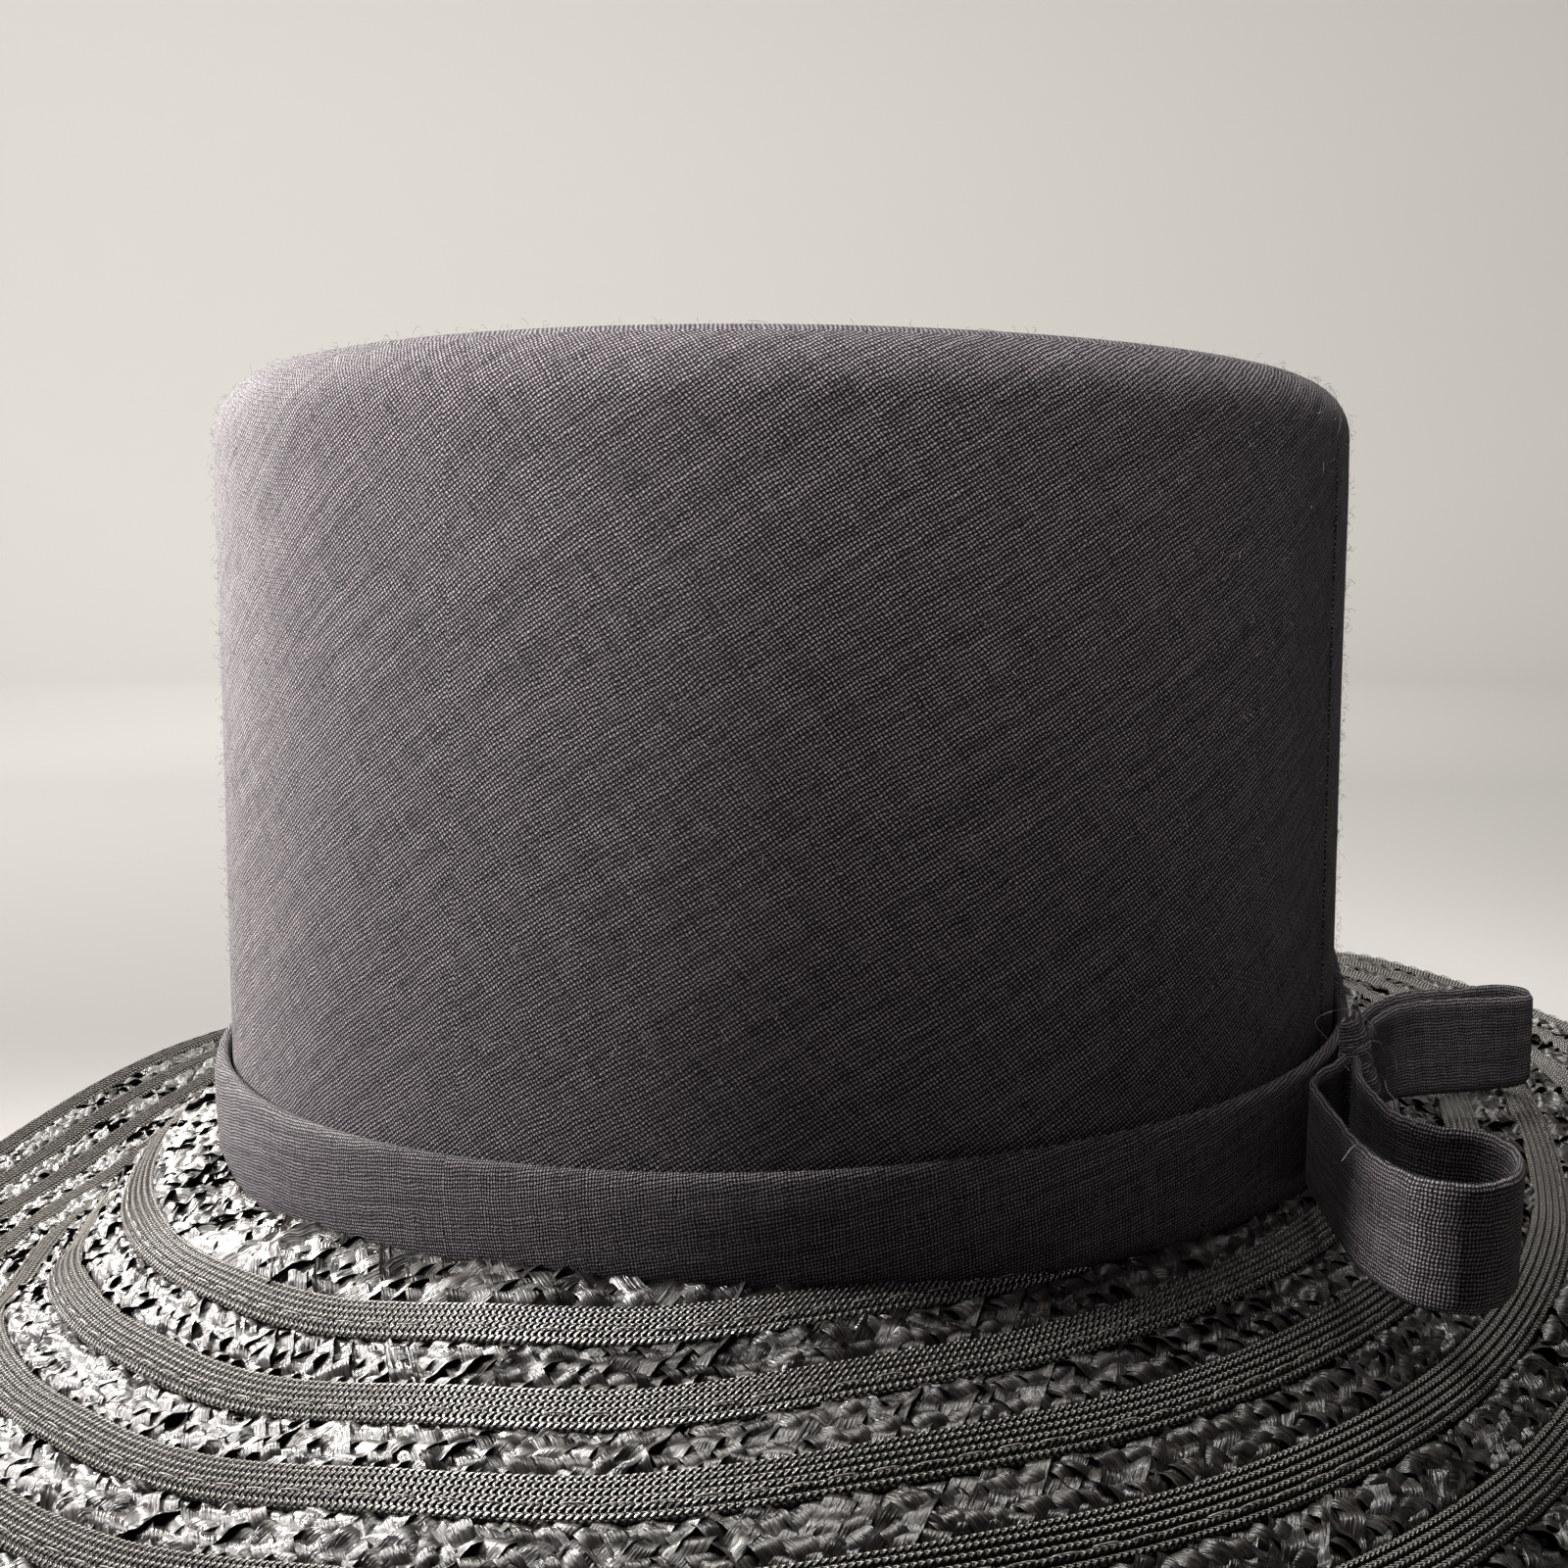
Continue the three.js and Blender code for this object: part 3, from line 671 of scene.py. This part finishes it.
def bow_loop(name, side, line, lean):
    """A strip on edge: its line in plan goes out from the knot, round and back, and is carried upwards by the
    strip's width, with a rounded rim above and below. Its two edges follow the part's."""
    out, way = np.array((0.0, 1.0)), np.array((-1.0, 0.0))
    start = bow_face() + way * side * (KNOT_WIDTH / 2 + SEAM_GAP)
    line = np.array(line, float) * LOOP_LENGTH
    here, length = smooth_line(start + line[:, :1] * way * side + line[:, 1:] * out, 221)
    t = np.linspace(0, 1, len(here))
    ahead = unit(np.gradient(here, axis=0))
    normal = np.stack([-ahead[:, 1], ahead[:, 0]], -1)
    foot = lean * STRIP_WIDTH * np.sin(TURN * t)[:, None] ** 2 * out
    points = corners(name)
    order = np.argsort(points[:, 2])
    half = len(points) // 2
    edges = []
    for place, chosen in ((here + foot, points[order[:half]]), (here, points[order[half:]])):
        near = 1 / (((place[:, None] - chosen[None, :, :2]) ** 2).sum(-1) + (0.8 * MM) ** 2) ** 2
        edges.append((near * chosen[:, 2]).sum(1) / near.sum(1))
    low, high = edges
    # Section: half the wall out each way, rounded at the rims.
    level = np.concatenate([np.linspace(0, 1, 17), np.linspace(1, 0, 17)[1:-1], [0]])
    face = np.concatenate([np.ones(17), -np.ones(15), [1]])
    rim = np.minimum(level, 1 - level) * STRIP_WIDTH / LOOP_RIM
    thick = STRIP_WALL / 2 * np.sqrt(1 - np.clip(1 - rim, 0, 1) ** 2) * face
    thick[[0, 16, -1]] = 0
    settled = np.sin(np.pi * t) ** 0.5
    wave = LOOP_WAVE * np.sin(np.pi * level)[None] * (wobble(t, 1.0, 17) * settled)[:, None]
    section = here[:, None] + foot[:, None] * (1 - level)[None, :, None]
    section = section + normal[:, None] * (thick[None] + wave)[..., None]
    droop = LOOP_DROOP * (wobble(t, 1.0, 23) * settled)[:, None]
    z = mix(low[:, None], high[:, None], level[None]) + droop
    body = capped(np.concatenate([section, z[..., None]], -1))
    run = np.cumsum(np.linalg.norm(np.diff(body[:, 0], axis=0, prepend=body[:1, 0]), axis=-1)) / MM
    climb = np.cumsum(np.abs(np.diff(level, prepend=0))) * STRIP_WIDTH / MM
    uv = on_grain(run[:, None], climb[None], WEFT_CLIMB, BOW_SCALE)
    piece = dress(make_piece(name + "_cloth", [(body, uv, True)], CLOTH), "cloth", name)
    return piece


def bow_knot():
    """Half round in plan, thinner towards the top, wrapped by a strip in soft folds and fine level ribs."""
    low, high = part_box("bow_knot")
    share = np.linspace(0, 1, KNOT_RIBS * 6 + 1)[:, None]
    arc = np.linspace(0, np.pi, 33)[None]
    fold = KNOT_FOLD_DEPTH * np.abs(np.sin(np.pi * KNOT_FOLDS * share + 0.5 * np.sin(2 * arc)))
    rib = fold + KNOT_RIB_DEPTH * np.abs(np.sin(np.pi * KNOT_RIBS * share + 0.8 * np.cos(arc)))
    swell = 1 - KNOT_TAPER * share ** 2
    across = (KNOT_WIDTH / 2 - KNOT_COVER + rib) * np.cos(arc)
    away = ((KNOT_DEPTH - KNOT_COVER) * swell + rib) * np.sin(arc)
    middle = bow_face()
    x, y, z = np.broadcast_arrays(middle[0] - across, middle[1] + away, low.z + share * (high.z - low.z))
    body = np.stack([x, y, z], -1)
    body = capped(np.concatenate([body, body[:, :1]], 1))
    # The grid's rows lie about 0.11 mm apart and its columns 0.6 mm.
    rows = np.arange(body.shape[0])[:, None] * 0.11
    cols = np.arange(body.shape[1])[None] * 0.6
    uv = on_grain(cols, rows, WEFT_CLIMB, BOW_SCALE)
    return dress(make_piece("bow_knot_cloth", [(body, uv, True)], CLOTH), "cloth", "bow_knot")


# Brim.

def horsehair_row(name, width, seed):
    """Across the row the face rises in rounded ridges on a low swell, carried along the row. The underside
    has shallow ridges and lies a little above the part's. The uv is the length along in millimetres and the
    count of ridges across. Gives back the row and the width of a ridge."""
    row = Row(name, HORSEHAIR_STEP)
    ridges = TUCKED_RIDGES if width == TUCKED_WIDTH else RIDGES
    pitch = width / ridges

    def reach(share):
        past = HORSEHAIR_OVERLAP
        return np.minimum(share * (width + 2 * past) - past, row.width[:, None] + past)

    share = np.linspace(0, 1, ridges * 5 + 1)[None]
    ridge = RIDGE_HEIGHT * np.abs(np.sin(np.pi * ridges * share)) ** 0.8
    swell = 0.6 * MM * (1 - (2 * share - 1) ** 4) - 0.1 * MM
    along = row.along[:, None]
    uneven = 0.1 * MM * wobble(along, row.length, seed, sines=19)
    top = row.at(along, reach(share), ridge + swell + uneven)
    bottom_share = np.linspace(1, 0, ridges * 2 + 1)[None]
    under = UNDERSIDE_RIDGE * np.abs(np.sin(np.pi * ridges * bottom_share))
    bottom = row.at(along, reach(bottom_share), -HORSEHAIR_UNDERSIDE - under)
    body = np.concatenate([top, bottom, top[:, :1]], 1)
    v = np.concatenate([share[0] * ridges, bottom_share[0] * ridges, [0]])
    length = row.length / MM
    u = row.along / MM * (round(length / MESH_PITCH) * MESH_PITCH / length)
    if not row.closed:
        body = capped(body)
        u = np.concatenate([u[:1], u, u[-1:]])
    uv = np.stack(np.broadcast_arrays(u[:, None], v[None]), -1)
    grids = [(body, uv, True)]
    for inward in (-0.1 * MM, np.minimum(width, row.width) + 0.1 * MM):
        selvage = tubes(row.at(row.along, inward, 0.3 * MM + uneven[:, 0])[None], SELVAGE_RADIUS)
        selvage_uv = np.stack(np.broadcast_arrays(row.along[None, :, None] / MM, 0.5), -1)
        grids.append((selvage, selvage_uv, False))
    dress(make_piece(name + "_braid", grids, HORSEHAIR), "horsehair_braid", name)
    return row, pitch


def straw_row(name, width, seed):
    """A plait: strips cross the row at a slant both ways, each over and under the others by a cosine of its
    place across, and each is creased by two waves with sharp crests in random places. A row made wider than
    the part's reaches in over the row inside it and stands higher. A closed backing lies under the strips."""
    row = Row(name, STRAW_STEP)
    chance = np.random.default_rng(seed)
    count = int(round(row.length / STRAW_PITCH))
    pitch = row.length / count
    number = np.arange(count)[:, None, None]
    s = np.linspace(-0.06, 1.06, 14)[None, :, None]
    c = np.linspace(-0.5, 0.5, 5)[None, None, :]
    grids = []
    for way in (1, -1):
        shift = chance.uniform(-0.25, 0.25, (count, 1, 1))
        narrow = chance.uniform(0.8, 1.12, (count, 1, 1))
        lean = chance.normal(0, 0.1, (count, 1, 1))
        centre = (number + 0.5 * (way > 0) + shift) * pitch
        along = centre + way * (s - 0.5) * width * (0.8 + lean) + c * STRAW_STRIP * narrow * 1.25
        inward = s * width - way * c * STRAW_STRIP * narrow * 0.35
        weave = way * STRAW_WEAVE * np.cos(np.pi * (2 * s - 1) * width / pitch)
        crease = np.zeros(np.broadcast_shapes(along.shape, s.shape))
        for _ in range(2):
            turn = chance.uniform(0, TURN, (count, 1, 1))
            beat = chance.uniform(0.5, 1.5, (count, 1, 1))
            slant = chance.uniform(-1.1, 1.1, (count, 1, 1))
            wave = np.abs((beat * s + slant * c + turn) % 1 - 0.5)
            crease = crease + wave * chance.uniform(0.5, 1.6, (count, 1, 1))
        crease = (crease - 0.5) * STRAW_CREASE
        curl = -STRAW_CURL * np.clip(np.abs(2 * s - 1) - 0.85, 0, 1) / 0.2
        tilt = chance.normal(0, 0.32, (count, 1, 1)) * c * STRAW_STRIP
        jitter = chance.normal(0, 0.025 * MM, along.shape)
        base = STRAW_LIFT if width == STRAW_WIDTH else OVERLAP_LIFT
        lift = base + weave + crease + curl + tilt + jitter
        limit = np.interp(np.mod(along, row.length), row.along, row.width) + width - STRAW_WIDTH + 0.4 * MM
        kept = along if row.closed else np.clip(along, 0, row.length)
        points = row.at(kept, np.minimum(inward, limit), lift)
        uv = np.stack(np.broadcast_arrays(s * 9 + number * 3.7, c * 2.6 + number * 1.3 + way * 50), -1)
        grids.append((points, uv, False))
    along = row.along[:, None]
    reach = np.array((0.0, 0.5, 1.0, 1.0, 0.5, 0.0, 0.0))[None] * row.width[:, None]
    lift = np.array((-0.5, -0.4, -0.5, -1.5, -1.6, -1.5, -0.5))[None] * MM
    body = row.at(along, reach, lift)
    u = row.along / MM
    if not row.closed:
        body = capped(body)
        u = np.concatenate([u[:1], u, u[-1:]])
    uv = np.stack(np.broadcast_arrays(u[:, None], np.linspace(0, 12, 7)[None]), -1)
    grids.append((body, uv, True))
    return dress(make_piece(name + "_braid", grids, STRAW), "straw_braid", name)


def tubes(lines, radius, sides=4):
    """Thin tubes along lines of points (count, steps, 3): rings of points round each, closed at both ends."""
    ahead = unit(np.gradient(lines, axis=1))
    side = unit(np.cross(ahead, np.array((0.31, 0.17, 0.93))))
    other = np.cross(ahead, side)
    angle = np.linspace(0, TURN, sides + 1)
    ring = (np.cos(angle)[:, None] * side[:, :, None] + np.sin(angle)[:, None] * other[:, :, None]) * radius
    taper = np.ones(lines.shape[1])
    taper[[0, -1]] = 0
    return lines[:, :, None] + ring * taper[None, :, None, None]


def stitch_line(rows):
    """Running stitches on the outer part of each horsehair row: short arches of thread end to end."""
    grids = []
    for row, pitch in rows:
        count = int(row.length / STITCH_PITCH)
        start = (np.arange(count) + 0.5)[:, None] * row.length / count
        t = np.linspace(-0.5, 0.5, 7)[None]
        along = start + t * STITCH_LENGTH
        inward = pitch * 1.5 + 0.12 * MM * np.sin(start * 900) + 0 * along
        arch = STITCH_ARCH - 1.3 * MM * np.abs(2 * t) ** 6 + 0 * along
        lines = row.at(along, inward, arch + 0.3 * MM)
        points = tubes(lines, STITCH_RADIUS)
        grids.append((points, np.zeros(points.shape[:-1] + (2,)), False))
    return dress(make_piece("brim_stitches", grids, THREAD), "horsehair_braid")


def fibres(name, count, reach, stand, radius, seed):
    """Loose fibres all over the crown and the rounding of its top. Each starts in the cloth and leaves it at
    a random slant, in a bow and a twist. stand is how much of its length goes straight out."""
    chance = np.random.default_rng(seed)
    # A share is one of the side's height up to 1, and goes on over the rounding from there.
    azimuth, share = chance.uniform(0, TURN, count), chance.uniform(0.1, 1.14, count)
    edge = TIP_EDGE + TIP_EDGE_SWING * np.cos(azimuth - TIP_CLIMB)
    turn = np.clip((share - 1) / 0.14, 0, 1) * np.pi / 2
    x, y = oval(azimuth, np.interp(share, GIRTH_HEIGHTS, GIRTHS), edge * (1 - np.cos(turn)))
    top = tip_height(x, y) - edge
    z = mix(FIBRE_FOOT, top, np.minimum(share, 1)) + edge * np.sin(turn)
    out = unit(np.stack([np.cos(azimuth) * np.cos(turn), np.sin(azimuth) * np.cos(turn), np.sin(turn)], -1))
    side = np.stack([-np.sin(azimuth), np.cos(azimuth), 0 * azimuth], -1)
    rise = np.cross(out, side)
    heading = chance.uniform(0, TURN, count)[:, None]
    bend = chance.normal(0, 1.3, count)[:, None]
    length = chance.uniform(0.5, 1.0, count)[:, None] ** 1.5 * reach
    steep = chance.uniform(0.2, 1.0, count)[:, None] * stand
    t = np.linspace(0, 1, 5)[None]
    angle = heading + bend * t
    level_x = np.cumsum(np.cos(angle), 1) / 5 * length
    level_y = np.cumsum(np.sin(angle), 1) / 5 * length
    away = np.sin(t * 2.2) * length * steep + 0.03 * MM
    start = np.stack([x, y, z], -1)[:, None]
    lines = start + side[:, None] * level_x[..., None] + rise[:, None] * level_y[..., None]
    lines = lines + out[:, None] * away[..., None]
    points = tubes(lines, radius, 3)
    piece = make_piece(name, [(points, np.zeros(points.shape[:-1] + (2,)), False)], FIBRE)
    return dress(piece, "cloth")


def loose_threads():
    """A few frayed threads at the bow, each a smooth line through its points, in millimetres: from the bow's
    middle towards the left loop, out from the band's face, and over the floor."""
    face = np.append(bow_face(), 0.0)
    runs = (
        ((9, -1.0, 60.5), (11, -3.0, 64.0), (9.5, 1.0, 66.0), (6.0, 4.0, 63.5), (4.0, 6.5, 58.0)),
        ((12, 2.5, 60.0), (9.0, 5.0, 61.5), (6.5, 7.5, 59.5), (6.0, 8.5, 56.0)),
        ((20, 3.5, 59.5), (18, 1.5, 61.5), (15, 3.5, 62.0), (14, 5.5, 60.5), (15.5, 6.0, 58.5)),
        ((40, 12.0, 60.0), (36, 15.0, 59.0), (31, 13.0, 58.5), (27, 9.5, 59.5), (24, 8.5, 60.5)),
        ((55, 12.5, 60.0), (57, 9.5, 62.0), (60, 8.0, 60.5)),
    )
    grids = []
    for run in runs:
        line, _ = smooth_line(face + np.array(run, float) * MM, 25)
        points = tubes(line[None], FRAY_RADIUS)
        grids.append((points, np.zeros(points.shape[:-1] + (2,)), False))
    return dress(make_piece("bow_threads", grids, FIBRE), "cloth")


crown()
hat_band()
for loop_name, loop in LOOPS.items():
    bow_loop(loop_name, **loop)
bow_knot()
sewn = []
for number in range(1, HORSEHAIR_ROWS + 1):
    width = TUCKED_WIDTH if number == 1 else HORSEHAIR_WIDTH
    sewn.append(horsehair_row(f"horsehair_row_{number}", width, 20 + number))
for number in range(1, STRAW_ROWS + 1):
    width = STRAW_WIDTH + STRAW_OVERLAP if number == 1 else STRAW_WIDTH
    straw_row(f"straw_row_{number}", width, 40 + number)
stitch_line(sewn)
fibres("crown_fuzz", count=5500, reach=2.0 * MM, stand=0.8, radius=0.026 * MM, seed=61)
fibres("crown_lint", count=900, reach=4.5 * MM, stand=0.12, radius=0.03 * MM, seed=62)
loose_threads()


# Stage, light and camera.

# The camera's place and lens were fitted to the crown's oval. LOOK is the way it looks round the hat, and PITCH
# the angle that it looks down by.
LOOK = np.radians(207.504)
PITCH = np.radians(7.353)
CAMERA_PLACE = (0.2544, 0.1432, 0.1293)
LENS, SENSOR_WIDTH = 36.4, 36
AHEAD = np.array((np.cos(LOOK), np.sin(LOOK), 0))
LEFT = np.array((-np.sin(LOOK), np.cos(LOOK), 0))
UP = np.array((0, 0, 1.0))
HAT_MIDDLE = np.array((0, 0.01, 0.09))
FLOOR_RADIUS, COVE_RADIUS, WALL_TOP = 1.9, 0.9, 2.6


def stage():
    """A round floor that curves up into a wall all round, of matt paper. It is palest far behind the hat and
    dark on the camera's side, which keeps the hat's right side in shadow."""
    turn = np.linspace(0, np.pi / 2, 12)
    radius = np.concatenate([[0, 0.3, 0.8, 1.4], FLOOR_RADIUS + COVE_RADIUS * np.sin(turn)])
    height = np.concatenate([[0, 0, 0, 0], COVE_RADIUS - COVE_RADIUS * np.cos(turn)])
    radius, height = np.append(radius, radius[-1]), np.append(height, WALL_TOP)
    angle = np.linspace(0, TURN, 97)[:, None]
    points = np.stack(np.broadcast_arrays(radius * np.cos(angle), radius * np.sin(angle), height), -1)
    made, tree, shader = new_material("matt_paper")
    where = add(tree, "ShaderNodeTexCoord").outputs["Object"]
    behind = vector_maths(tree, "DOT_PRODUCT", where, AHEAD.tolist())["Value"]
    paper = ramp(tree, maths(tree, "MULTIPLY_ADD", behind, 0.25, 0.3), (0.15, "#4c4b4a"), (0.3, "#979593"),
                 (0.475, "#9c9a98"), (0.7, "#c8c6c3"), (0.875, "#d4d2cf"))
    tree.links.new(paper, shader.inputs["Base Color"])
    shader.inputs["Roughness"].default_value = 0.9
    floor = make_piece("floor", [(points, points[..., :2], False)], made)


def lamp(name, data, place, aim, power, colour):
    """A light of some power in watts at a place, turned to a point to aim at."""
    data.energy = power
    data.color = linear(colour)[:3]
    made = bpy.data.objects.new(name, data)
    bpy.context.scene.collection.objects.link(made)
    made.location = place
    way = aim - place
    level = np.hypot(way[0], way[1])
    made.rotation_euler = Euler((np.arctan2(level, -way[2]), 0, np.arctan2(way[1], way[0]) - np.pi / 2))


def area_light(name, place, aim, colour, size, power):
    data = bpy.data.lights.new(name, "AREA")
    data.shape, data.size, data.size_y = "RECTANGLE", size[0], size[1]
    lamp(name, data, place, aim, power, colour)


def spot_light(name, place, aim, colour, size, power, cone):
    data = bpy.data.lights.new(name, "SPOT")
    data.shadow_soft_size = size
    data.spot_size = np.radians(cone)
    data.spot_blend = 1.0
    lamp(name, data, place, aim, power, colour)


def around(angle, distance, height):
    """Place over the floor round the hat, at an angle from the camera's side, positive to the right."""
    angle = np.radians(angle)
    return HAT_MIDDLE * (1, 1, 0) - (AHEAD * np.cos(angle) + LEFT * np.sin(angle)) * distance + UP * height


def near_hat(forth, side, height):
    """Place from the middle of the hat, so far ahead of it in the camera's direction, to the left, and up."""
    return HAT_MIDDLE + AHEAD * forth + LEFT * side + UP * height


stage()

# Four narrow lights on the hat, a wide weak one from the left, and one over the floor behind the hat.
spot_light("key", around(-88, 0.5, 0.24), near_hat(0, 0.06, 0.045), "#fffafa",
           size=0.08, power=42, cone=48)
spot_light("top_light", around(-25, 0.34, 0.45), near_hat(-0.05, 0.02, 0.125), "#fff8fa",
           size=0.06, power=26, cone=34)
spot_light("brim_light", around(-125, 0.55, 0.32), near_hat(-0.13, 0.1, -0.05), "#fffaf4",
           size=0.07, power=34, cone=40)
spot_light("right_light", around(75, 0.5, 0.3), near_hat(0, -0.08, 0.1), "#e6ecff",
           size=0.08, power=2, cone=24)
area_light("window", near_hat(0.4, 0.85, 0.35), HAT_MIDDLE, "#fffaf2", size=(1.1, 0.7), power=1.2)
area_light("backdrop_light", near_hat(0.2, 0.35, 1.5), near_hat(1.9, 0.45, -0.09), "#fffdf8",
           size=(1.2, 0.6), power=70)

world = bpy.data.worlds.new("studio")
world.use_nodes = True
world.node_tree.nodes["Background"].inputs[0].default_value = linear("#e9ebef")
world.node_tree.nodes["Background"].inputs[1].default_value = 0.01
bpy.context.scene.world = world
bpy.context.scene.view_settings.view_transform = "Standard"

camera_data = bpy.data.cameras.new("camera")
camera_data.sensor_width = SENSOR_WIDTH
camera_data.lens = LENS
camera_data.clip_start = 0.01
camera = bpy.data.objects.new("camera", camera_data)
bpy.context.scene.collection.objects.link(camera)
camera.location = CAMERA_PLACE
camera.rotation_euler = Euler((np.pi / 2 - PITCH, 0, LOOK - np.pi / 2))
bpy.context.scene.camera = camera
